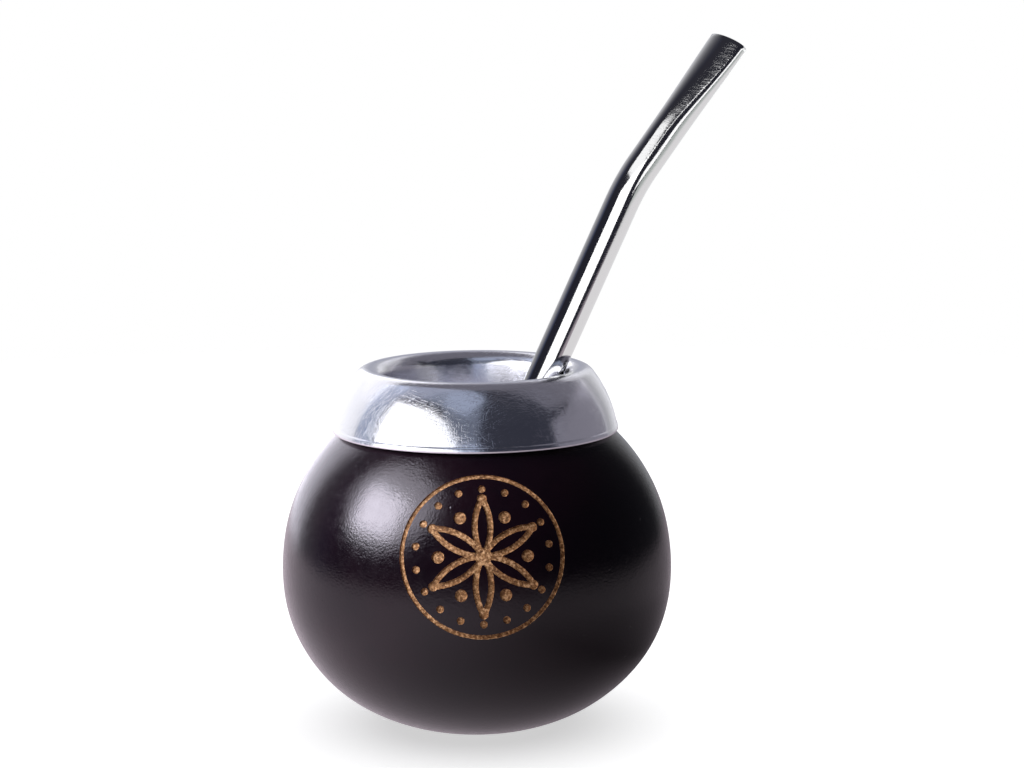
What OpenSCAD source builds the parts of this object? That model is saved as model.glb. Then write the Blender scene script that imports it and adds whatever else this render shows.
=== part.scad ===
// Mate gourd: a dried calabash cup with a spun aluminium collar and a bent metal straw.
// Millimetres, +Z up. The origin is the centre of the small flat spot the gourd stands on.
// The front is -Y. Each piece is one solid: gourd, collar and bombilla (the straw).

/* [Gourd] */
// Widest diameter of the gourd
gourd_d = 80; // [70:1:110]
// Height of the widest ring above the table
belly_h = 32; // [24:1:42]
// Height of the shoulder, where the collar's edge sits
shoulder_h = 61.4; // [50:0.2:80]
// Diameter of the gourd at that shoulder
shoulder_d = 55.4; // [52:0.2:64]
// Diameter of the flat spot underneath
foot_d = 22.4; // [12:0.2:40]
// Thickness of the wall at the widest ring
gourd_wall = 4.5; // [3:0.1:7]
// Thickness of the floor in the middle
floor_t = 5.5; // [4:0.1:9]
// How far the cut neck stands above the shoulder, under the collar
neck_rise = 3.4; // [2:0.1:4]
// Thickness of the wall at the cut neck
neck_wall = 3.7; // [2.5:0.1:4.5]

/* [Collar] */
// Height of the collar from its lower edge to its crest
collar_h = 12.8; // [11:0.1:20]
// Diameter of the crest, over the highest line of the roll
crest_d = 43.6; // [41:0.2:46]
// Radius of the rolled crest
crest_round = 3; // [2:0.1:4]
// Radius of the bulge of the collar's flank
flank_round = 26; // [20:1:60]
// Thickness of the spun sheet
sheet = 1.2; // [0.6:0.1:1.4]
// Taper of the throat that lines the mouth, in degrees from upright
throat_taper = 8; // [2:0.5:12]
// Depth of the throat below the crest
throat_depth = 18; // [14:0.5:26]
// Height of the hem along the lower edge
hem_h = 1.1; // [0.6:0.1:2.5]
// How far the hem stands out of the flank
hem_step = 0.15; // [0.1:0.05:0.5]

/* [Straw] */
// Outer diameter of the tube
tube_d = 7; // [5:0.1:9]
// Wall of the tube
tube_wall = 0.5; // [0.4:0.05:0.8]
// Length from near the lower end, where the tube's middle is clear of the floor, to the bend's corner
straw_low = 110; // [90:1:140]
// Length from the corner of the bend to the mouth end
straw_up = 36.5; // [34:0.5:60]
// Direction the straw leans in, in degrees from +X towards +Y
lean_dir = 14; // [0:1:359]
// Radius from the cup's axis at which the lower end rests on the floor
rest_r = 15.2; // [8:0.1:18]
// Angle of the bend
bend_angle = 15; // [5:1:40]
// Turn of the bend about the lower tube, in degrees from the direction of lean
bend_turn = 28; // [-90:1:90]
// Radius of the bend, along the middle of the tube
bend_round = 35; // [20:1:60]
// Width of the flattened mouth end
mouth_w = 9.8; // [8:0.1:12]
// Thickness of the flattened mouth end
mouth_t = 5; // [3.5:0.1:7]
// Length over which the tube flattens
mouth_len = 25; // [15:1:28]

/* [Fits] */
// Gap between the collar's edge and the gourd, filled by glue in the real cup
glue_gap = 0.2; // [0.1:0.05:0.5]
// Gap between the throat and the gourd's cut mouth
mouth_gap = 0.4; // [0.2:0.1:1]
// Gap left where the straw rests on the crest
rest_gap = 0.08; // [0.05:0.01:0.2]
// Gap left between the straw's lower rim and the floor
rim_gap = 0.4; // [0.3:0.05:1]

/* [Hidden] */
$fn = 96;

// Shape of the gourd's halves: 2 and 2 would be an ellipse, and more is squarer
low_p = 2.15;
low_q = 2.1;
top_p = 2.33;
top_q = 2.04;
// Points along each half of the gourd's outline, along the collar's flank and round its roll
steps = 14;
flank_steps = 8;
roll_steps = 12;
hem_steps = 3;

gourd_r = gourd_d / 2;
shoulder_r = shoulder_d / 2;
foot_r = foot_d / 2;
cavity_r = gourd_r - gourd_wall;
cavity_low = belly_h - floor_t;
neck_top = shoulder_h + neck_rise;

crest_r = crest_d / 2;
crest_z = shoulder_h + collar_h - crest_round;
edge = [shoulder_r + glue_gap + sheet, shoulder_h];
throat_end_z = shoulder_h + collar_h - throat_depth;

tube_r = tube_d / 2;
rest_off = tube_r + rest_gap;

// Where the throat's inner cone leaves the rolled crest
throat_top = [
    crest_r - crest_round * cos(throat_taper),
    crest_z + crest_round * sin(throat_taper)
];
// Radius of the throat's hidden side at height z
function throat_back_r(z) =
    throat_top[0] - (throat_top[1] - z) * tan(throat_taper) + sheet / cos(throat_taper);
mouth_r = throat_back_r(neck_top) + mouth_gap;

// Half height of a rounded half that passes through radius r at a distance dz from its widest ring
function half_height(r, dz, r_max, p, q) = dz / pow(1 - pow(r / r_max, p), 1 / q);
// Points of a rounded half, from the angle t_end back to its widest ring (t = 0)
function half_point(t, r_max, h, p, q) = [r_max * pow(cos(t), 2 / p), h * pow(sin(t), 2 / q)];
// Angle at which a rounded half passes the distance dz
function half_angle(dz, h, q) = asin(pow(dz / h, q / 2));

low_h = half_height(foot_r, belly_h, gourd_r, low_p, low_q);
top_h = half_height(shoulder_r, shoulder_h - belly_h, gourd_r, top_p, top_q);
cavity_top = half_height(mouth_r, neck_top - belly_h, cavity_r, top_p, top_q);

// Outline of half a body: side is -1 below the widest ring and 1 above it
function half_outline(side, t_end, r_max, h, p, q) = [
    for (i = [0:steps])
        let (t = side < 0 ? t_end * (1 - i / steps) : t_end * i / steps)
        let (c = half_point(t, r_max, h, p, q))
        [c[0], belly_h + side * c[1]]
];

// The flank's arc passes through the lower edge and runs into the crest's roll without a corner
to_crest = [crest_r - edge[0], crest_z - edge[1]];
span = norm(to_crest);
along = (flank_round ^ 2 - (flank_round - crest_round) ^ 2 + span ^ 2) / (2 * span);
across = sqrt(flank_round ^ 2 - along ^ 2);
flank_centre = edge + (along * to_crest + across * [-to_crest[1], to_crest[0]]) / span;
flank_start = atan2(edge[1] - flank_centre[1], edge[0] - flank_centre[0]);
flank_end = atan2(crest_z - flank_centre[1], crest_r - flank_centre[0]);
// The flank's inner side starts at the same height as the outer one, so the edge is cut level
inner_start = asin((edge[1] - flank_centre[1]) / (flank_round - sheet));

// Points on an arc about c with radius r from angle a0 to angle a1
function arc(c, r, a0, a1, n) = [for (i = [0:n]) c + r * [cos(a0 + (a1 - a0) * i / n),
    sin(a0 + (a1 - a0) * i / n)]];

// Height and slope of the cavity's floor at radius r
function floor_z(r) =
    belly_h - cavity_low * pow(1 - pow(r / cavity_r, low_p), 1 / low_q);
function floor_slope(r) =
    atan(cavity_low / low_q * pow(1 - pow(r / cavity_r, low_p), 1 / low_q - 1)
        * low_p / cavity_r * pow(r / cavity_r, low_p - 1));

// The straw starts near a point one tube radius off the floor, and leans on the inside of the roll
foot_at = [
    rest_r - rest_off * sin(floor_slope(rest_r)),
    floor_z(rest_r) + rest_off * cos(floor_slope(rest_r))
];
to_roll = [crest_r + foot_at[0], crest_z - foot_at[1]];
lean = atan2(to_roll[0], to_roll[1]) - asin((crest_round + rest_off) / norm(to_roll));
// The tube goes on past that point until its square-cut rim is close to the sloping floor
rim_tilt = lean - floor_slope(rest_r);
rim_reach = tube_r * (1 - sin(rim_tilt)) / cos(rim_tilt) - rim_gap;
bend_cut = bend_round * tan(bend_angle / 2);
upper_len = straw_up - bend_cut;

// The upper tube laps over the lower one by this length, and stands out of it by this step
lap = 1.5;
lap_step = 0.05;
// How far the tube's bore runs past both of its ends
past = 1;
// Sides round the swept upper tube, rings along its bend and rings along its flattening
tube_sides = 24;
bend_rings = 6;
mouth_rings = 9;

module gourd() {
    shoulder_end = half_angle(shoulder_h - belly_h, top_h, top_q);
    foot_end = half_angle(belly_h, low_h, low_q);
    mouth_end = half_angle(neck_top - belly_h, cavity_top, top_q);
    outer = concat(
        half_outline(-1, foot_end, gourd_r, low_h, low_p, low_q),
        half_outline(1, shoulder_end, gourd_r, top_h, top_p, top_q),
        [[mouth_r + neck_wall, neck_top]]
    );
    inner = concat(
        half_outline(-1, 90, cavity_r, cavity_low, low_p, low_q),
        half_outline(1, mouth_end, cavity_r, cavity_top, top_p, top_q)
    );
    color("#2a1f28")
    rotate_extrude()
    polygon(concat(
        [[0, 0]],
        drop_repeats(outer),
        reversed(drop_repeats(inner))
    ));
}

function drop_repeats(v) = [for (i = [0:len(v) - 1]) if (i == 0 || norm(v[i] - v[i - 1]) > 0.01) v[i]];
function reversed(v) = [for (i = [len(v) - 1:-1:0]) v[i]];

module collar() {
    throat_low = [throat_back_r(throat_end_z) - sheet / cos(throat_taper), throat_end_z];
    roll_angle = 180 - throat_taper;
    outside = concat(
        arc(flank_centre, flank_round, flank_start, flank_end, flank_steps),
        arc([crest_r, crest_z], crest_round, flank_end, roll_angle, roll_steps)
    );
    inside = concat(
        arc(flank_centre, flank_round - sheet, inner_start, flank_end, flank_steps),
        arc([crest_r, crest_z], crest_round - sheet, flank_end, roll_angle, roll_steps)
    );
    hem_top = flank_start + hem_h / flank_round * 180 / PI;
    hem = concat(
        arc(flank_centre, flank_round + hem_step, flank_start, hem_top, hem_steps),
        arc(flank_centre, flank_round - sheet / 2, hem_top, flank_start, hem_steps)
    );
    color("#c9c9ce")
    rotate_extrude()
    union() {
        polygon(concat(
            drop_repeats(outside),
            [throat_low, throat_low + [sheet / cos(throat_taper), 0]],
            reversed(drop_repeats(inside))
        ));
        polygon(hem);
    }
}

function ease(s) = s * s * (3 - 2 * s);
function mix(a, b, s) = a + (b - a) * s;

// Stations along the upper tube, each [x, z, tilt from +Z, share of the flattening]
straight = upper_len - mouth_len;
function along_upper(d, flat) = [
    bend_round * (1 - cos(bend_angle)) + d * sin(bend_angle),
    bend_round * sin(bend_angle) + d * cos(bend_angle),
    bend_angle,
    flat
];
stations = concat(
    [[0, -lap, 0, 0], [0, 0, 0, 0]],
    [for (k = [1:bend_rings]) let (a = bend_angle * k / bend_rings)
        [bend_round * (1 - cos(a)), bend_round * sin(a), a, 0]],
    [for (k = [0:mouth_rings]) let (f = k / mouth_rings)
        along_upper(straight + mouth_len * f, ease(f))]
);

// An oval ring across the tube at a station, with its thin half-width in the plane of the bend
function ring_at(v, thin, wide) = [
    for (i = [0:tube_sides - 1])
        let (u = thin * cos(360 * i / tube_sides))
        [v[0] + u * cos(v[2]), wide * sin(360 * i / tube_sides), v[1] - u * sin(v[2])]
];

// The bent upper tube with its flattened mouth end: a hollow sweep that starts at the bend
module upper_tube() {
    round_out = tube_r + lap_step;
    round_in = tube_r - tube_wall / 2;
    outer = [for (v = stations) each ring_at(v,
        mix(round_out, mouth_t / 2, v[3]), mix(round_out, mouth_w / 2, v[3]))];
    inner = [for (v = stations) each ring_at(v,
        mix(round_in, mouth_t / 2 - tube_wall, v[3]), mix(round_in, mouth_w / 2 - tube_wall, v[3]))];
    n = tube_sides;
    last = len(stations) - 1;
    inside = len(outer);
    function at(ring, side) = ring * n + side % n;
    skin = [
        for (r = [0:last - 1], s = [0:n - 1]) each [
            [at(r, s), at(r + 1, s), at(r + 1, s + 1)],
            [at(r, s), at(r + 1, s + 1), at(r, s + 1)],
            [inside + at(r, s), inside + at(r + 1, s + 1), inside + at(r + 1, s)],
            [inside + at(r, s), inside + at(r, s + 1), inside + at(r + 1, s + 1)]
        ]
    ];
    ends = [
        for (s = [0:n - 1]) each [
            [at(0, s), at(0, s + 1), inside + at(0, s + 1)],
            [at(0, s), inside + at(0, s + 1), inside + at(0, s)],
            [at(last, s), inside + at(last, s + 1), at(last, s + 1)],
            [at(last, s), inside + at(last, s), inside + at(last, s + 1)]
        ]
    ];
    polyhedron(concat(outer, inner), concat(skin, ends));
}

// The straight lower tube, open at its square-cut lower end, along its own +Z
module lower_tube() {
    length = rim_reach + straw_low - bend_cut;
    translate([0, 0, -rim_reach])
    difference() {
        cylinder(r = tube_r, h = length);
        translate([0, 0, -past])
        cylinder(r = tube_r - tube_wall, h = length + 2 * past);
    }
}

module bombilla() {
    color("#b9babf")
    rotate([0, 0, lean_dir])
    translate([-foot_at[0], 0, foot_at[1]])
    rotate([0, lean, 0])
    union() {
        lower_tube();
        rotate([0, 0, bend_turn])
        translate([0, 0, straw_low - bend_cut])
        upper_tube();
    }
}

gourd();
collar();
bombilla();
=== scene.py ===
"""Looks for a mate gourd: a dark varnished calabash cup with a spun aluminium collar and a steel straw.

Sizes are in millimetres and become metres through MM. The outlines follow the same rules as the
solids that they replace, so each piece lies where its solid does.
"""

import math

import bmesh
import bpy
import numpy as np
from mathutils import Matrix, Vector, noise
from mathutils.geometry import delaunay_2d_cdt


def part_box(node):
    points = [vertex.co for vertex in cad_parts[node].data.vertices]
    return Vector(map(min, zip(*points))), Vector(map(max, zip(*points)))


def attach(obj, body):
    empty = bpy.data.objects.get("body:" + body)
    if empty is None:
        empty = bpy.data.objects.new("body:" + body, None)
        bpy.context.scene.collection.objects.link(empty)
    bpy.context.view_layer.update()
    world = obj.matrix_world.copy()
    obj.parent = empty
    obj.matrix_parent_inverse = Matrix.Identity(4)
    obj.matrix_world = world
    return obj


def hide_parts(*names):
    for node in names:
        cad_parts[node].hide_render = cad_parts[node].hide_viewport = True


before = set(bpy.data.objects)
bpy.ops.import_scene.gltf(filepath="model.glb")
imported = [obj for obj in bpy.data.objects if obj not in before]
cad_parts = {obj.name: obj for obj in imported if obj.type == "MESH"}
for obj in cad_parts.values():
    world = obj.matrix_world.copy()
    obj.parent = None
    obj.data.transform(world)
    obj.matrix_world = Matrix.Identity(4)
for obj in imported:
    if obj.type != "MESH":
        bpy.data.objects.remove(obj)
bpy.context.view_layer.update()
MM = 0.001

# ---------------------------------------------------------------- sizes, in millimetres

GOURD_HIGH = np.array(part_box("gourd")[1]) / MM
COLLAR_LOW, COLLAR_HIGH = (np.array(corner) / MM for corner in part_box("collar"))

GOURD_R = GOURD_HIGH[0]
NECK_TOP = GOURD_HIGH[2]
BELLY_H = 32.0
SHOULDER_H = 61.4
SHOULDER_R = 27.7
FOOT_R = 11.2
GOURD_WALL = 4.5
NECK_WALL = 3.7
FLOOR_T = 5.5
LOW_P, LOW_Q = 2.15, 2.1
TOP_P, TOP_Q = 2.33, 2.04

CREST_R = 21.8
CREST_ROUND = 3.0
CREST_Z = COLLAR_HIGH[2] - CREST_ROUND
FLANK_ROUND = 26.0
SHEET = 1.2
THROAT_TAPER = math.radians(8)
THROAT_END = COLLAR_LOW[2]
GLUE_GAP = 0.2
MOUTH_GAP = 0.4
HEM_H = 1.1
HEM_STEP = 0.15

TUBE_R = 3.5
TUBE_WALL = 0.5
STRAW_LOW = 110.0
STRAW_UP = 36.5
LEAN_DIR = math.radians(14)
REST_R = 15.2
REST_GAP = 0.08
BEND = math.radians(15)
BEND_TURN = math.radians(28)
BEND_ROUND = 35.0
MOUTH_W = 9.8
MOUTH_T = 5.0
MOUTH_LEN = 25.0
RIM_GAP = 0.4

# The engraved roundel on the front
ROUNDEL_TURN = math.radians(1.95)
ROUNDEL_H = 43.2
RING_OUT = 15.85
RING_IN = 15.05
ENGRAVE_DEPTH = 0.28


# ---------------------------------------------------------------- outlines


def half_height(r, dz, r_max, p, q):
    """Height of a rounded half that passes through radius r at dz from its widest ring."""
    return dz / (1 - (r / r_max) ** p) ** (1 / q)


LOW_H = half_height(FOOT_R, BELLY_H, GOURD_R, LOW_P, LOW_Q)
TOP_H = half_height(SHOULDER_R, SHOULDER_H - BELLY_H, GOURD_R, TOP_P, TOP_Q)
THROAT_TOP = (
    CREST_R - CREST_ROUND * math.cos(THROAT_TAPER),
    CREST_Z + CREST_ROUND * math.sin(THROAT_TAPER),
)


def throat_r(z):
    """Radius of the throat's visible side at height z."""
    return THROAT_TOP[0] - (THROAT_TOP[1] - z) * math.tan(THROAT_TAPER)


MOUTH_R = throat_r(NECK_TOP) + SHEET / math.cos(THROAT_TAPER) + MOUTH_GAP
CAVITY_R = GOURD_R - GOURD_WALL
CAVITY_LOW = BELLY_H - FLOOR_T
CAVITY_TOP = half_height(MOUTH_R, NECK_TOP - BELLY_H, CAVITY_R, TOP_P, TOP_Q)


def gourd_r(z):
    """Outer radius of the gourd at height z."""
    if z < BELLY_H:
        return GOURD_R * max(0, 1 - ((BELLY_H - z) / LOW_H) ** LOW_Q) ** (1 / LOW_P)
    return GOURD_R * max(0, 1 - ((z - BELLY_H) / TOP_H) ** TOP_Q) ** (1 / TOP_P)


def half_outline(side, t_end, r_max, h, p, q, steps):
    """Points (r, z) of half a body, upwards: side is -1 below the widest ring and 1 above it."""
    turns = [t_end * (1 - i / steps if side < 0 else i / steps) for i in range(steps + 1)]
    return [
        (r_max * max(0, math.cos(t)) ** (2 / p), BELLY_H + side * h * math.sin(t) ** (2 / q))
        for t in turns
    ]


def half_angle(dz, h, q):
    return math.asin((dz / h) ** (q / 2))


def even(points, pitch):
    """The same open outline with points at equal spacing of about pitch."""
    pts = np.array(points)
    run = np.concatenate([[0], np.cumsum(np.hypot(*np.diff(pts, axis=0).T))])
    count = max(2, round(run[-1] / pitch))
    at = np.linspace(0, run[-1], count + 1)
    return list(zip(np.interp(at, run, pts[:, 0]), np.interp(at, run, pts[:, 1])))


def arc(centre, radius, a0, a1, count):
    turns = np.linspace(a0, a1, count + 1)
    return [(centre[0] + radius * math.cos(a), centre[1] + radius * math.sin(a)) for a in turns]


# ---------------------------------------------------------------- mesh helpers


def new_object(name, bm, *materials):
    mesh = bpy.data.meshes.new(name)
    bmesh.ops.recalc_face_normals(bm, faces=bm.faces[:])
    bm.to_mesh(mesh)
    bm.free()
    mesh.transform(Matrix.Scale(MM, 4))
    obj = bpy.data.objects.new(name, mesh)
    bpy.context.collection.objects.link(obj)
    for material in materials:
        mesh.materials.append(material)
    return obj


def spin(bm, outline, columns, start=0.0, material=0, skip=None):
    """Turns an outline of (r, z) points into rings of quads. A point at r = 0 becomes a pole.
    skip(row, column) leaves a face out. Returns the rings of vertices."""
    rings = []
    for r, z in outline:
        if r < 1e-6:
            rings.append([bm.verts.new((0, 0, z))])
            continue
        turns = [start + 2 * math.pi * c / columns for c in range(columns)]
        rings.append([bm.verts.new((r * math.cos(a), r * math.sin(a), z)) for a in turns])
    join_rings(bm, rings, columns, material, skip)
    return rings


def join_rings(bm, rings, columns, material=0, skip=None):
    for row, (low, high) in enumerate(zip(rings, rings[1:])):
        for c in range(columns):
            if skip and skip(row, c):
                continue
            d = (c + 1) % columns
            corners = [low[c % len(low)], low[d % len(low)], high[d % len(high)], high[c % len(high)]]
            face = bm.faces.new(list(dict.fromkeys(corners)))
            face.smooth = True
            face.material_index = material


# ---------------------------------------------------------------- node helpers


class Nodes:
    """A short way to write the node tree of a material, or of the world."""

    def __init__(self, owner, out="ShaderNodeOutputMaterial", place="Object"):
        owner.use_nodes = True
        self.owner = owner
        self.tree = owner.node_tree
        self.tree.nodes.clear()
        self.out = self.add(out)
        self.place = self.add("ShaderNodeTexCoord").outputs[place]

    def add(self, kind, inputs=None, **settings):
        node = self.tree.nodes.new(kind)
        for key, value in settings.items():
            setattr(node, key, value)
        for key, value in (inputs or {}).items():
            self.set(node.inputs[key], value)
        return node

    def set(self, socket, value):
        if isinstance(value, bpy.types.NodeSocket):
            self.tree.links.new(value, socket)
        else:
            socket.default_value = value

    def noise(self, scale, detail=2.0, rough=0.5, place=None):
        inputs = {"Vector": place or self.place, "Scale": scale, "Detail": detail, "Roughness": rough}
        return self.add("ShaderNodeTexNoise", inputs).outputs["Fac"]

    def mapped(self, inputs, **settings):
        """The place after a Mapping node with these inputs."""
        inputs = {"Vector": self.place, **inputs}
        return self.add("ShaderNodeMapping", inputs, **settings).outputs["Vector"]

    def ramp(self, value, stops):
        node = self.add("ShaderNodeValToRGB", {"Fac": value})
        elements = node.color_ramp.elements
        while len(elements) < len(stops):
            elements.new(0.5)
        for element, (at, colour) in zip(elements, stops):
            element.position = at
            element.color = colour
        return node.outputs["Color"]

    def between(self, value, low, high, to_low=0.0, to_high=1.0):
        inputs = {"Value": value, "From Min": low, "From Max": high}
        inputs.update({"To Min": to_low, "To Max": to_high})
        return self.add("ShaderNodeMapRange", inputs).outputs["Result"]

    def calc(self, a, b, operation="ADD"):
        return self.add("ShaderNodeMath", {0: a, 1: b}, operation=operation).outputs["Value"]

    def mix(self, factor, a, b):
        node = self.add("ShaderNodeMix", data_type="RGBA", blend_type="MIX")
        self.set(node.inputs["Factor"], factor)
        self.set(node.inputs["A"], a)
        self.set(node.inputs["B"], b)
        return node.outputs["Result"]

    def bump(self, height, distance, under=None):
        inputs = {"Height": height, "Distance": distance, "Strength": 1.0}
        if under:
            inputs["Normal"] = under
        return self.add("ShaderNodeBump", inputs).outputs["Normal"]

    def either(self, factor, at_zero, at_one):
        """A mix of two shaders."""
        node = self.add("ShaderNodeMixShader", {0: factor})
        self.tree.links.new(at_zero.outputs[0], node.inputs[1])
        self.tree.links.new(at_one.outputs[0], node.inputs[2])
        return node

    def finish(self, shader):
        self.tree.links.new(shader.outputs[0], self.out.inputs["Surface"])
        return self.owner

    def surface(self, inputs):
        """Ends the tree in a principled surface with these inputs."""
        return self.finish(self.add("ShaderNodeBsdfPrincipled", inputs))


def material_nodes(name):
    return Nodes(bpy.data.materials.new(name))


def rgb(red, green, blue):
    """A scene-linear colour from 0-255 display values."""
    def linear(v):
        v /= 255
        return v / 12.92 if v <= 0.04045 else ((v + 0.055) / 1.055) ** 2.4
    return (linear(red), linear(green), linear(blue), 1)


# ---------------------------------------------------------------- materials


# Noise scales are per metre, and bump heights and lengths are in metres.

SCRATCH_WIDTH = 0.00017
# Each run of scratches: its tilt in degrees and its length
SCRATCH_RUNS = ((8, 0.0022), (-34, 0.0016), (58, 0.0012), (96, 0.0018))


def varnish():
    """Near-black stained gourd under a glossy varnish with orange peel, pores and a few specks."""
    n = material_nodes("gourd_varnish")
    cloud = n.between(n.noise(38, 3), 0.35, 0.7)
    mottle = n.between(n.noise(260, 3), 0.55, 0.8, 0, 0.5)
    stain = n.mix(mottle, n.mix(cloud, rgb(10, 5, 11), rgb(21, 8, 15)), rgb(6, 4, 8))
    waves = n.bump(n.noise(150, 2), 0.00003)
    peel = n.bump(n.noise(2300, 2, 0.6), 0.00004, under=waves)
    pores = n.add("ShaderNodeTexVoronoi", {"Vector": n.place, "Scale": 330.0}, feature="F1")
    spot = n.between(pores.outputs["Distance"], 0.04, 0.11, 1.0, 0.0)
    chosen = n.between(n.noise(120, 1), 0.6, 0.66)
    pit = n.calc(spot, chosen, "MULTIPLY")
    return n.surface({
        "Base Color": n.mix(n.calc(pit, 0.7, "MULTIPLY"), stain, rgb(4, 3, 5)),
        "Roughness": n.between(n.noise(700, 4, 0.6), 0.3, 0.7, 0.14, 0.22),
        "Normal": n.bump(pit, -0.00006, under=peel),
        "IOR": 1.48,
    })


def engraving():
    """Bare tan gourd where the ornament is cut: matte and granular."""
    n = material_nodes("gourd_engraving")
    grain = n.noise(1900, 3, 0.7)
    tan = ((0.34, rgb(80, 52, 28)), (0.5, rgb(142, 102, 58)), (0.64, rgb(216, 176, 126)))
    return n.surface({
        "Base Color": n.ramp(grain, tan),
        "Roughness": 0.75,
        "Normal": n.bump(grain, 0.00015),
        "IOR": 1.4,
    })


def raw_gourd():
    """The inside and the cut neck: dry, pale tan, faintly fibrous."""
    n = material_nodes("gourd_raw")
    fibre = n.noise(1.0, 4, 0.6, place=n.mapped({"Scale": (220, 220, 60)}))
    tan = ((0.3, rgb(120, 88, 58)), (0.55, rgb(163, 126, 86)), (0.8, rgb(186, 152, 110)))
    return n.surface({
        "Base Color": n.ramp(fibre, tan),
        "Roughness": 0.82,
        "Normal": n.bump(fibre, 0.0003),
        "IOR": 1.4,
    })


def scratches(n, tilt, length, share):
    """Short straight lines at a tilt in degrees. share is how much of the surface they cover, from 0
    to 1, and it varies from place to place."""
    turn = math.radians(tilt)
    inputs = {"Rotation": (turn, turn, 0), "Scale": (length, length, SCRATCH_WIDTH)}
    lines = n.noise(1.0, 0, place=n.mapped(inputs, vector_type="TEXTURE"))
    crowded = n.calc(lines, n.between(n.noise(90, 2), 0.3, 0.7, -0.07, 0.07))
    return n.between(crowded, 0.72 - 0.2 * share, 0.78 - 0.2 * share)


def scratched_metal(name, tint, rough, depth, waves, share):
    """Bright metal with a slight unevenness, as high as waves, and fine scratches of the given depth.
    rough is its least and greatest roughness."""
    n = material_nodes(name)
    roughness = n.between(n.noise(900, 4, 0.7), 0.35, 0.65, *rough)
    normal = n.bump(n.noise(60, 2), waves)
    for tilt, length in SCRATCH_RUNS:
        normal = n.bump(scratches(n, tilt, length, share), -depth, under=normal)
    return n.surface({"Base Color": tint, "Metallic": 1.0, "Roughness": roughness, "Normal": normal})


VARNISH = varnish()
ENGRAVING = engraving()
RAW = raw_gourd()
ALUMINIUM = scratched_metal(
    "spun_aluminium", rgb(234, 234, 240), (0.12, 0.19), 0.000005, 0.00003, share=0.45
)
THROAT = scratched_metal(
    "throat_aluminium", rgb(226, 226, 236), (0.18, 0.26), 0.000004, 0.00008, share=0.4
)
STEEL = scratched_metal(
    "straw_steel", rgb(226, 226, 226), (0.06, 0.1), 0.0000012, 0.000003, share=0.3
)


# ---------------------------------------------------------------- the engraved roundel


# Spacing of the points along a drawn line
DRAWN_STEP = 0.45


def circle_points(centre, radius):
    count = max(12, round(2 * math.pi * radius / DRAWN_STEP))
    turns = [2 * math.pi * i / count for i in range(count)]
    return [(centre[0] + radius * math.cos(a), centre[1] + radius * math.sin(a)) for a in turns]


class Roundel:
    """A plain ring round a six-petalled rosette drawn with a compass, with dots between the petals
    and a circle of small dots round it."""

    PETAL = 11.2
    STROKE = 1.15
    HUB_R = 1.7
    ARC_REACH = math.radians(60)
    # Dots: how far from the middle, the direction, and the dot's radius
    TIPS = [(11.1, math.radians(60 * k + 30), 0.95) for k in range(6)]
    BETWEEN = [(8.6, math.radians(60 * k), 1.2) for k in range(6)]
    BEADS = [(13.0, math.radians(20 * k + 10), 0.75) for k in range(18)]
    DOTS = [((r * math.cos(a), r * math.sin(a)), size) for r, a, size in TIPS + BETWEEN + BEADS]

    def arc_centres(self):
        turns = [math.pi / 6 + k * math.pi / 3 for k in range(6)]
        return [(self.PETAL * math.cos(a), self.PETAL * math.sin(a)) for a in turns]

    def arc_strip(self, centre):
        """Outline of one stroke: the part of a circle about centre that lies inside the rosette."""
        toward = math.atan2(-centre[1], -centre[0])
        start, end = toward - self.ARC_REACH, toward + self.ARC_REACH
        count = round(2 * self.ARC_REACH * self.PETAL / DRAWN_STEP)
        outer = arc(centre, self.PETAL + self.STROKE / 2, start, end, count)
        inner = arc(centre, self.PETAL - self.STROKE / 2, end, start, count)
        return outer + inner

    def outlines(self):
        shapes = [circle_points((0, 0), RING_OUT), circle_points((0, 0), RING_IN)]
        shapes += [self.arc_strip(c) for c in self.arc_centres()]
        shapes += [circle_points(centre, size) for centre, size in self.DOTS]
        shapes.append(circle_points((0, 0), self.HUB_R))
        return shapes

    def cut(self, x, y):
        """Whether the point is cut away."""
        if RING_IN < math.hypot(x, y) < RING_OUT or math.hypot(x, y) < self.HUB_R:
            return True
        if any(math.hypot(x - at[0], y - at[1]) < size for at, size in self.DOTS):
            return True
        for cx, cy in self.arc_centres():
            off = math.hypot(x - cx, y - cy) - self.PETAL
            turn = math.atan2(y - cy, x - cx) - math.atan2(-cy, -cx)
            turn = (turn + math.pi) % (2 * math.pi) - math.pi
            if abs(off) < self.STROKE / 2 and abs(turn) < self.ARC_REACH:
                return True
        return False


def gourd_slope(z, step):
    """How fast the gourd's radius grows with height at z."""
    return (gourd_r(z + step) - gourd_r(z - step)) / (2 * step)


class Patch:
    """The flat drawing plane of the roundel and its way back to the gourd's surface."""

    # How far from the plane the surface is looked for, and in how many halvings
    ABOVE, BELOW, HALVINGS = 3.0, -14.0, 40

    def __init__(self):
        tilt = math.atan(-gourd_slope(ROUNDEL_H, 0.1))
        a = ROUNDEL_TURN - math.pi / 2
        radial = Vector((math.cos(a), math.sin(a), 0))
        self.out = radial * math.cos(tilt) + Vector((0, 0, math.sin(tilt)))
        self.side = Vector((-math.sin(a), math.cos(a), 0))
        self.up = self.out.cross(self.side)
        self.centre = radial * gourd_r(ROUNDEL_H) + Vector((0, 0, ROUNDEL_H))

    def flat(self, point):
        d = Vector(point) - self.centre
        return (d.dot(self.side), d.dot(self.up))

    def lift(self, x, y):
        """The point of the gourd's surface in front of (x, y), found by bisection along the plane's
        normal."""
        start = self.centre + self.side * x + self.up * y
        outside, inside = self.ABOVE, self.BELOW
        for _ in range(self.HALVINGS):
            mid = (outside + inside) / 2
            p = start + self.out * mid
            if math.hypot(p.x, p.y) > gourd_r(p.z):
                outside = mid
            else:
                inside = mid
        return start + self.out * outside


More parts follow.
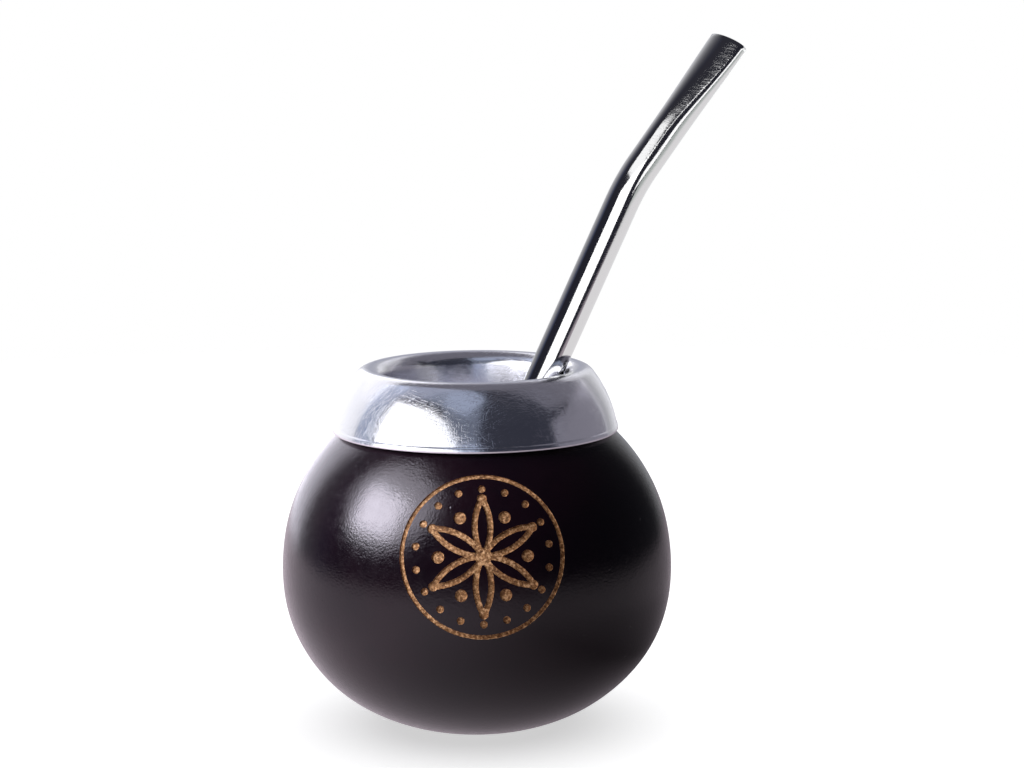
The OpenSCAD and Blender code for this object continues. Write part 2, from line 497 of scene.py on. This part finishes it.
def surface_normal(p):
    n = Vector((p[0], p[1], 0)).normalized()
    return Vector((n.x, n.y, -gourd_slope(p[2], 0.05))).normalized()


def wobble(p, amount):
    """A slow unevenness, as a grown gourd has: how far point p moves along its radius."""
    q = Vector(p) * 0.024
    return amount * (noise.noise(q + Vector((3.1, 7.7, 1.3))) + 0.4 * noise.noise(q * 2.3))


# ---------------------------------------------------------------- the gourd

GOURD_COLUMNS = 216
GOURD_PITCH = 1.15
CAVITY_PITCH = 2.2
# The patch that the roundel is cut in: its columns, and its reach below and above the middle
PATCH_COLUMNS = 34
PATCH_DOWN, PATCH_UP = 18.0, 16.0
# Spacing of its inner points, and how close to a drawn line they may come, as a share of it
PATCH_SPACING = 0.95
PATCH_CLEAR = 0.42
# The unevenness, and the heights over which it fades out at the foot and the neck
WOBBLE = 0.45
FOOT_FADE, NECK_FADE = 6, 8


def hole_border(rings, low_row, high_row):
    """The vertices round the hole left in the rings, in order."""
    left, right = -PATCH_COLUMNS // 2, PATCH_COLUMNS // 2
    border = [rings[low_row][c % GOURD_COLUMNS] for c in range(left, right)]
    border += [rings[r][right % GOURD_COLUMNS] for r in range(low_row, high_row)]
    border += [rings[high_row][c % GOURD_COLUMNS] for c in range(right, left, -1)]
    border += [rings[r][left % GOURD_COLUMNS] for r in range(high_row, low_row, -1)]
    return border


def inside(outline, x, y):
    """Whether (x, y) lies inside a closed outline."""
    hit = False
    for a, b in zip(outline, outline[1:] + outline[:1]):
        if (a.y > y) != (b.y > y) and x < (b.x - a.x) * (y - a.y) / (b.y - a.y) + a.x:
            hit = not hit
    return hit


def triangulate(outline, shapes):
    """Triangles that fill the outline and keep every shape's edges. Returns the points, the
    triangles, and for each point the points it came from, the outline's being the first."""
    points = list(outline)
    edges = [(i, (i + 1) % len(points)) for i in range(len(points))]
    for shape in shapes:
        first = len(points)
        points += shape
        edges += [(first + i, first + (i + 1) % len(shape)) for i in range(len(shape))]
    drawn = np.array(points)
    limits = np.array(outline)
    low, high = limits.min(0), limits.max(0)
    count = ((high - low) / PATCH_SPACING).astype(int)
    for j in range(count[1] + 1):
        for i in range(count[0] + 1):
            x = low[0] + (i + 0.5 * (j % 2)) * PATCH_SPACING
            y = low[1] + j * PATCH_SPACING * 0.9
            nearest = np.hypot(drawn[:, 0] - x, drawn[:, 1] - y).min()
            if nearest > PATCH_CLEAR * PATCH_SPACING:
                points.append((x, y))
    flat = [Vector(p) for p in points]
    placed, _, faces, origins, _, _ = delaunay_2d_cdt(flat, edges, [], 0, 1e-5)
    return placed, faces, origins


def engrave(bm, rings, low_row, high_row):
    """Fills the hole left in the rings with a patch that carries the engraved roundel."""
    patch = Patch()
    design = Roundel()
    border = hole_border(rings, low_row, high_row)
    outline = [patch.flat(v.co) for v in border]
    placed, faces, origins = triangulate(outline, design.outlines())
    ring_of = {k: border[s] for k, sources in enumerate(origins) for s in sources if s < len(border)}
    outline = [Vector(p) for p in outline]
    cut_faces, plain_faces = [], []
    for f in faces:
        x = sum(placed[k].x for k in f) / len(f)
        y = sum(placed[k].y for k in f) / len(f)
        if inside(outline, x, y):
            (cut_faces if design.cut(x, y) else plain_faces).append(f)

    top, floor = {}, {}

    def top_vert(k):
        if k not in top:
            top[k] = ring_of.get(k) or bm.verts.new(patch.lift(placed[k].x, placed[k].y))
        return top[k]

    def floor_vert(k):
        if k not in floor:
            p = patch.lift(placed[k].x, placed[k].y)
            rough = 0.25 * noise.noise(Vector(p) * 2.1)
            floor[k] = bm.verts.new(p - surface_normal(p) * ENGRAVE_DEPTH * (1 + rough))
        return floor[k]

    for f in plain_faces:
        face = bm.faces.new([top_vert(k) for k in f])
        face.smooth = True
    cut_edges = {}
    for f in cut_faces:
        face = bm.faces.new([floor_vert(k) for k in f])
        face.smooth = True
        face.material_index = 1
        cut_edges.update(dict.fromkeys(zip(f, list(f[1:]) + [f[0]])))
    for a, b in cut_edges:
        if (b, a) in cut_edges:
            continue
        wall = bm.faces.new([top_vert(a), top_vert(b), floor_vert(b), floor_vert(a)])
        wall.material_index = 1
        for edge in wall.edges:
            edge.smooth = False


def two_halves(low_angle, low_h, top_angle, top_h, r_max, steps, end=()):
    """Points (r, z) of a body from its lowest ring up, then the end points."""
    low = half_outline(-1, low_angle, r_max, low_h, LOW_P, LOW_Q, steps)
    high = half_outline(1, top_angle, r_max, top_h, TOP_P, TOP_Q, steps)
    return low + high[1:] + list(end)


def build_gourd():
    shoulder = half_angle(SHOULDER_H - BELLY_H, TOP_H, TOP_Q)
    foot = half_angle(BELLY_H, LOW_H, LOW_Q)
    neck = [(MOUTH_R + NECK_WALL, NECK_TOP)]
    outer = even(two_halves(foot, LOW_H, shoulder, TOP_H, GOURD_R, 90, neck), GOURD_PITCH)
    mouth = half_angle(NECK_TOP - BELLY_H, CAVITY_TOP, TOP_Q)
    inner = two_halves(math.pi / 2, CAVITY_LOW, mouth, CAVITY_TOP, CAVITY_R, 60)
    heights = [z for _, z in outer]
    low_row = max(i for i, z in enumerate(heights) if z < ROUNDEL_H - PATCH_DOWN)
    high_row = min(i for i, z in enumerate(heights) if z > ROUNDEL_H + PATCH_UP)
    half = PATCH_COLUMNS // 2

    def in_patch(row, column):
        beside = column < half or column >= GOURD_COLUMNS - half
        return beside and low_row <= row < high_row

    bm = bmesh.new()
    start = ROUNDEL_TURN - math.pi / 2
    rings = spin(bm, outer, GOURD_COLUMNS, start, skip=in_patch)
    engrave(bm, rings, low_row, high_row)
    under = spin(bm, [(0, 0), (FOOT_R * 0.5, 0)], GOURD_COLUMNS, start)
    join_rings(bm, [under[1], rings[0]], GOURD_COLUMNS)
    cavity = spin(bm, even(inner, CAVITY_PITCH), GOURD_COLUMNS, start, material=2)
    join_rings(bm, [rings[-1], cavity[-1]], GOURD_COLUMNS, material=2)
    for v in bm.verts:
        r = math.hypot(v.co.x, v.co.y)
        if r > 1e-6:
            from_foot = min(1, max(0, v.co.z / FOOT_FADE))
            from_neck = min(1, max(0, (NECK_TOP - v.co.z) / NECK_FADE))
            move = 1 + wobble(v.co, WOBBLE) * (from_foot * from_neck) / r
            v.co.x *= move
            v.co.y *= move
    return new_object("gourd_shell", bm, VARNISH, ENGRAVING, RAW)


# ---------------------------------------------------------------- the collar


COLLAR_COLUMNS = 240
# The hem's profile: how far along its height, and how much of HEM_STEP it stands out there
HEM_SHAPE = ((0, 0.2), (0.12, 0.8), (0.3, 1), (0.7, 1), (0.88, 0.8), (1, 0.1), (1.12, 0))
# Slow and quick dents, each with its height and its frequency per mm
DENTS = ((0.05, 0.06), (0.02, 0.21))
SHARP = math.radians(50)


def flank_centre(low_edge):
    """Centre of the flank's arc, which starts at the low edge and runs smoothly into the crest."""
    to_crest = np.array([CREST_R - low_edge[0], CREST_Z - low_edge[1]])
    span = np.hypot(*to_crest)
    along = (FLANK_ROUND**2 - (FLANK_ROUND - CREST_ROUND) ** 2 + span**2) / (2 * span)
    across = math.sqrt(FLANK_ROUND**2 - along**2)
    turned = np.array([-to_crest[1], to_crest[0]])
    return np.array(low_edge) + (along * to_crest + across * turned) / span


def collar_outline():
    """The collar's closed outline in three parts: the outside up to the crest and over it, the
    throat's visible side, and the back of the sheet round to the low edge."""
    low_edge = (SHOULDER_R + GLUE_GAP + SHEET, SHOULDER_H)
    centre = flank_centre(low_edge)
    crest = (CREST_R, CREST_Z)
    start = math.atan2(low_edge[1] - centre[1], low_edge[0] - centre[0])
    end = math.atan2(CREST_Z - centre[1], CREST_R - centre[0])
    back_start = math.asin((low_edge[1] - centre[1]) / (FLANK_ROUND - SHEET))
    roll_end = math.pi - THROAT_TAPER
    hem_turn = HEM_H / FLANK_ROUND
    hem = []
    for share, lift in HEM_SHAPE:
        radius, a = FLANK_ROUND + HEM_STEP * lift, start + hem_turn * share
        hem.append((centre[0] + radius * math.cos(a), centre[1] + radius * math.sin(a)))
    flank = arc(centre, FLANK_ROUND, start + hem_turn * 1.25, end, 26)
    outside = hem + flank + arc(crest, CREST_ROUND, end, roll_end, 30)[1:]
    throat = [(throat_r(z), z) for z in np.linspace(THROAT_TOP[1], THROAT_END, 16)[1:]]
    back = [(r + SHEET / math.cos(THROAT_TAPER), z) for r, z in reversed(throat)]
    back += arc(crest, CREST_ROUND - SHEET, roll_end, end, 16)
    back += arc(centre, FLANK_ROUND - SHEET, end, back_start, 16)[1:]
    return outside, throat, back


def build_collar():
    outside, throat, back = collar_outline()
    bm = bmesh.new()
    spin(bm, outside, COLLAR_COLUMNS)
    spin(bm, outside[-1:] + throat, COLLAR_COLUMNS, material=1)
    rings = spin(bm, throat[-1:] + back, COLLAR_COLUMNS)
    join_rings(bm, [rings[-1], spin(bm, outside[:1], COLLAR_COLUMNS)[0]], COLLAR_COLUMNS)
    bmesh.ops.remove_doubles(bm, verts=bm.verts[:], dist=1e-5)
    for v in bm.verts:
        dent = sum(height * noise.noise(Vector(v.co) * often) for height, often in DENTS)
        r = math.hypot(v.co.x, v.co.y)
        v.co.x *= 1 + dent / r
        v.co.y *= 1 + dent / r
    for edge in bm.edges:
        if edge.calc_face_angle(0) > SHARP:
            edge.smooth = False
    return new_object("collar_shell", bm, ALUMINIUM, THROAT)


# ---------------------------------------------------------------- the straw


STRAW_SIDES = 80
LIP = 0.1


def straw_place():
    """Where the straw stands: the matrix of its own frame, and how far the tube goes on below it."""
    depth = 1 - (REST_R / CAVITY_R) ** LOW_P
    floor_z = BELLY_H - CAVITY_LOW * depth ** (1 / LOW_Q)
    rise = CAVITY_LOW / LOW_Q * depth ** (1 / LOW_Q - 1) * LOW_P / CAVITY_R
    slope = math.atan(rise * (REST_R / CAVITY_R) ** (LOW_P - 1))
    off = TUBE_R + REST_GAP
    foot = (REST_R - off * math.sin(slope), floor_z + off * math.cos(slope))
    to_roll = (CREST_R + foot[0], CREST_Z - foot[1])
    lean = math.atan2(*to_roll) - math.asin((CREST_ROUND + off) / math.hypot(*to_roll))
    tilt = lean - slope
    reach = TUBE_R * (1 - math.sin(tilt)) / math.cos(tilt) - RIM_GAP
    place = (
        Matrix.Rotation(LEAN_DIR, 4, "Z")
        @ Matrix.Translation((-foot[0], 0, foot[1]))
        @ Matrix.Rotation(lean, 4, "Y")
    )
    return place, reach


def ease(s):
    return s * s * (3 - 2 * s)


def straw_stations(reach):
    """Rings along the tube, from its lower end up, each (matrix, thin half-width, wide half-width)."""
    cut = BEND_ROUND * math.tan(BEND / 2)
    turn = Matrix.Rotation(BEND_TURN, 4, "Z")
    straight = STRAW_LOW - cut
    levels = np.linspace(-reach, straight, 40)
    stations = [(Matrix.Translation((0, 0, z)) @ turn, TUBE_R, TUBE_R) for z in levels]
    base = stations[-1][0]
    for a in np.linspace(0, BEND, 15)[1:]:
        at = Matrix.Translation((BEND_ROUND * (1 - math.cos(a)), 0, BEND_ROUND * math.sin(a)))
        stations.append((base @ at @ Matrix.Rotation(a, 4, "Y"), TUBE_R, TUBE_R))
    end = stations[-1][0]
    upper = STRAW_UP - cut
    for d in np.linspace(0, upper, 36)[1:]:
        s = ease(max(0, (d - upper + MOUTH_LEN) / MOUTH_LEN))
        thin = TUBE_R + (MOUTH_T / 2 - TUBE_R) * s
        wide = TUBE_R + (MOUTH_W / 2 - TUBE_R) * s
        stations.append((end @ Matrix.Translation((0, 0, d)), thin, wide))
    return stations


def build_straw():
    place, reach = straw_place()
    stations = straw_stations(reach)
    first, last = stations[0], stations[-1]
    middle = stations[1:-1]
    bm = bmesh.new()
    turns = [2 * math.pi * i / STRAW_SIDES for i in range(STRAW_SIDES)]

    def ring(station, inset=0.0, back=0.0):
        """A ring of vertices at a station, set in from the outside and moved back down the tube."""
        matrix, thin, wide = station
        at = place @ matrix @ Matrix.Translation((0, 0, -back))
        sizes = (thin - inset, wide - inset)
        return [
            bm.verts.new(at @ Vector((sizes[0] * math.cos(a), sizes[1] * math.sin(a), 0)))
            for a in turns
        ]

    rings = [ring(first, TUBE_WALL - LIP), ring(first, LIP), ring(first, 0, -LIP)]
    rings += [ring(station) for station in middle]
    rings += [ring(last, 0, LIP), ring(last, LIP), ring(last, TUBE_WALL - LIP)]
    rings += [ring(last, TUBE_WALL, LIP)]
    rings += [ring(station, TUBE_WALL) for station in reversed(middle)]
    rings += [ring(first, TUBE_WALL, -LIP)]
    join_rings(bm, rings, STRAW_SIDES)
    join_rings(bm, [rings[-1], rings[0]], STRAW_SIDES)
    return new_object("straw_tube", bm, STEEL)


gourd = build_gourd()
collar = build_collar()
straw = build_straw()
for piece, node, slot in (
    (gourd, "gourd", "gourd"),
    (collar, "collar", "collar"),
    (straw, "bombilla", "straw"),
):
    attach(piece, "root")
    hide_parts(node)


# ---------------------------------------------------------------- floor, light and camera


FLOOR_R = 560
# Where the floor has faded away, in metres from the middle
FLOOR_FADE = (0.34, 0.54)
# The middles of the cup and of the straw above it, in metres
CUP = (0, 0, 0.05)
STRAW = (0.03, 0.005, 0.105)
WHITE, COOL, LAVENDER = (1, 1, 1), (0.68, 0.78, 1), (0.91, 0.87, 1)
# The camera: its place in millimetres, and its pitch, yaw and roll in degrees
CAMERA_AT = (0.99, -554.52, 159.3)
CAMERA_TURNS = (9.109, 0.68, -0.421)


def build_floor():
    """A white floor that fades into the white surroundings. The camera sees it lit from above, with a
    faint soft shadow that an even glow of the floor's own lightens.
    Everything else, the cup too, sees no paint but a painted glow, dimmer close by and most of all on
    the right:
    painted light and shade of the floor round the cup."""
    bm = bmesh.new()
    turns = [2 * math.pi * i / 96 for i in range(96)]
    bm.faces.new([bm.verts.new((FLOOR_R * math.cos(a), FLOOR_R * math.sin(a), 0)) for a in turns])
    n = material_nodes("floor_white")
    away = n.add("ShaderNodeVectorMath", {0: n.place}, operation="LENGTH").outputs["Value"]
    across = n.add("ShaderNodeSeparateXYZ", {0: n.place}).outputs["X"]
    # Painted light and shade for the cup: the floor's glow is dimmer close to the cup and towards the
    # right
    close = n.between(across, -0.06, 0.05, 1.0, 0.08)
    distant = n.between(across, -0.1, 0.1, 0.95, 0.4)
    far = n.between(away, 0.05, 0.14)
    glow = n.calc(close, n.calc(far, n.calc(distant, close, "SUBTRACT"), "MULTIPLY"))
    # The painted glow that everything but the camera sees in place of the lit floor; it is no lamp
    to_cup = n.add("ShaderNodeEmission", {"Color": (1.0, 0.87, 0.97, 1), "Strength": glow})
    seen = n.add("ShaderNodeAddShader")
    paint = n.add("ShaderNodeBsdfDiffuse", {"Color": (0.9, 0.9, 0.9, 1)})
    # An even glow of the floor's own that the camera sees, which lightens the shadow
    lift = n.add("ShaderNodeEmission", {"Color": (*WHITE, 1), "Strength": 0.6})
    n.tree.links.new(paint.outputs[0], seen.inputs[0])
    n.tree.links.new(lift.outputs[0], seen.inputs[1])
    white = n.either(n.add("ShaderNodeLightPath").outputs["Is Camera Ray"], to_cup, seen)
    clear = n.add("ShaderNodeBsdfTransparent")
    faded = n.either(n.between(away, *FLOOR_FADE), white, clear)
    return new_object("floor", bm, n.finish(faded))


def add_light(name, data, only):
    """Puts a light in the scene that lights only the listed objects, and returns its object."""
    obj = bpy.data.objects.new(name, data)
    bpy.context.collection.objects.link(obj)
    obj.visible_camera = False
    receivers = bpy.data.collections.new(name + "_lights")
    for piece in only:
        receivers.objects.link(piece)
    obj.light_linking.receiver_collection = receivers
    return obj


def panel(
    name, turn, rise, spread, glow, only,
    tint=WHITE, roll=0.0, away=0.6, shape="RECTANGLE", origin=CUP,
):
    """A soft panel seen from the origin at turn degrees round from the front, towards the right, and
    rise degrees above level. spread is its width and height in degrees. A glow of 1 is as bright as
    paper."""
    wide, high = (2 * away * math.tan(math.radians(angle) / 2) for angle in spread)
    data = bpy.data.lights.new(name, "AREA")
    data.shape = shape
    data.size, data.size_y = wide, high
    data.energy = glow * math.pi * wide * high * (math.pi / 4 if shape == "ELLIPSE" else 1)
    data.color = tint
    obj = add_light(name, data, only)
    turn, rise = math.radians(turn), math.radians(rise)
    level = Vector((math.sin(turn), -math.cos(turn), 0))
    towards = level * math.cos(rise) + Vector((0, 0, math.sin(rise)))
    facing = towards.to_track_quat("Z", "Y").to_matrix().to_4x4()
    rolled = facing @ Matrix.Rotation(math.radians(roll), 4, "Z")
    obj.matrix_world = Matrix.Translation(Vector(origin) + towards * away) @ rolled


# The walls that the cup reflects: degrees round from the front, towards the right, and colour
ROOM = (
    (-180, (0.42, 0.43, 0.5)),
    (-168, (0.7, 0.7, 0.74)),
    (-150, (0.45, 0.45, 0.47)),
    (-118, (0.2, 0.2, 0.23)),
    (-104, (0.06, 0.07, 0.12)),
    (-90, (0.02, 0.02, 0.03)),
    (60, (0.02, 0.02, 0.03)),
    (140, (0.05, 0.05, 0.06)),
    (158, (0.5, 0.5, 0.52)),
    (180, (0.42, 0.43, 0.5)),
)


def build_world():
    """Plain white where the camera sees it. Reflections and fill light come from a room that is pale
    behind the cup, and dark in front and above."""
    world = bpy.data.worlds.new("studio")
    bpy.context.scene.world = world
    n = Nodes(world, "ShaderNodeOutputWorld", "Generated")
    split = n.add("ShaderNodeSeparateXYZ", {0: n.place}).outputs
    front = n.calc(split["Y"], -1.0, "MULTIPLY")
    turn = n.calc(split["X"], front, "ARCTAN2")
    share = n.between(turn, -math.pi, math.pi)
    walls = n.ramp(share, [((at + 180) / 360, (*colour, 1)) for at, colour in ROOM])
    up = n.between(split["Z"], 0.45, 0.85)
    room = n.mix(up, walls, (0.03, 0.03, 0.04, 1))
    seen = n.add("ShaderNodeLightPath").outputs["Is Camera Ray"]
    n.finish(n.add("ShaderNodeBackground", {"Color": n.mix(seen, room, (*WHITE, 1))}))


def build_camera():
    data = bpy.data.cameras.new("camera")
    data.sensor_width = 36
    data.lens = 96.86
    data.clip_end = 50
    camera = bpy.data.objects.new("camera", data)
    bpy.context.collection.objects.link(camera)
    pitch, yaw, roll = (math.radians(v) for v in CAMERA_TURNS)
    level = Vector((math.sin(yaw), math.cos(yaw), 0))
    ahead = level * math.cos(pitch) - Vector((0, 0, math.sin(pitch)))
    right = Vector((math.cos(yaw), -math.sin(yaw), 0))
    up = right.cross(ahead)
    turned_right = right * math.cos(roll) + up * math.sin(roll)
    turned_up = up * math.cos(roll) - right * math.sin(roll)
    axes = Matrix((turned_right, turned_up, -ahead)).transposed().to_4x4()
    camera.matrix_world = Matrix.Translation(Vector(CAMERA_AT) * MM) @ axes
    bpy.context.scene.camera = camera


def build_lights():
    """Each piece has soft panels of its own, so that each shows the reflections it should."""
    overhead = bpy.data.lights.new("overhead", "SUN")
    overhead.energy = 2.1
    overhead.angle = math.radians(110)
    add_light("overhead", overhead, [floor])

    panel("softbox", -64, 37, (56, 48), 5.5, [gourd], LAVENDER, shape="ELLIPSE")
    panel("softbox_core", -68, 31, (30, 24), 14, [gourd], LAVENDER)
    panel("backdrop_left", -154, 10, (46, 68), 1.9, [gourd], LAVENDER)

    panel("collar_left", -140, 18, (58, 64), 0.8, [collar])
    panel("collar_gap", -100, 22, (20, 62), 0.4, [collar], COOL)
    panel("collar_softbox", -67, -2, (36, 82), 1.6, [collar])
    panel("collar_spill", -50, -4, (74, 90), 1.4, [collar], shape="ELLIPSE")
    panel("collar_high", -50, 60, (64, 24), 0.3, [collar], COOL)
    panel("collar_low", -6, 4, (20, 22), 0.5, [collar], COOL)
    panel("collar_blue", -12, 34, (28, 56), 0.18, [collar], COOL)
    panel("collar_front", 40, 24, (70, 64), 0.02, [collar], COOL)
    panel("collar_right", 100, 6, (64, 44), 0.2, [collar], LAVENDER)
    panel("collar_back_right", 148, 14, (40, 60), 0.34, [collar])
    panel("collar_top", 0, 108, (120, 84), 0.14, [collar], LAVENDER)

    panel("straw_strip", -12, -1, (54, 68), 1.8, [straw], away=0.45, origin=STRAW)
    panel("straw_slant", -18, 41, (66, 15), 1.2, [straw], roll=-33, origin=STRAW)
    panel("straw_right", 62, 3, (54, 12), 1.4, [straw], away=1.0, origin=STRAW)
    panel("straw_back", 122, 8, (76, 46), 0.72, [straw], origin=STRAW)
    straw_card()


def straw_card():
    """A card beside the straw that lies just above the floor, from 48 degrees round to the right."""
    wide, deep, glow = 1.45, 1.0, 0.5
    data = bpy.data.lights.new("straw_card", "AREA")
    data.shape = "RECTANGLE"
    data.size, data.size_y = wide, deep
    data.energy = glow * math.pi * wide * deep
    data.color = (0.93, 1, 0.95)
    add_light("straw_card", data, [straw]).matrix_world = (
        Matrix.Translation((0.643, 0.126, 0.002))
        @ Matrix.Rotation(math.radians(-42), 4, "Z")
        @ Matrix.Rotation(math.pi, 4, "X")
    )


floor = build_floor()
build_world()
build_lights()
build_camera()
bpy.context.scene.view_settings.view_transform = "Standard"
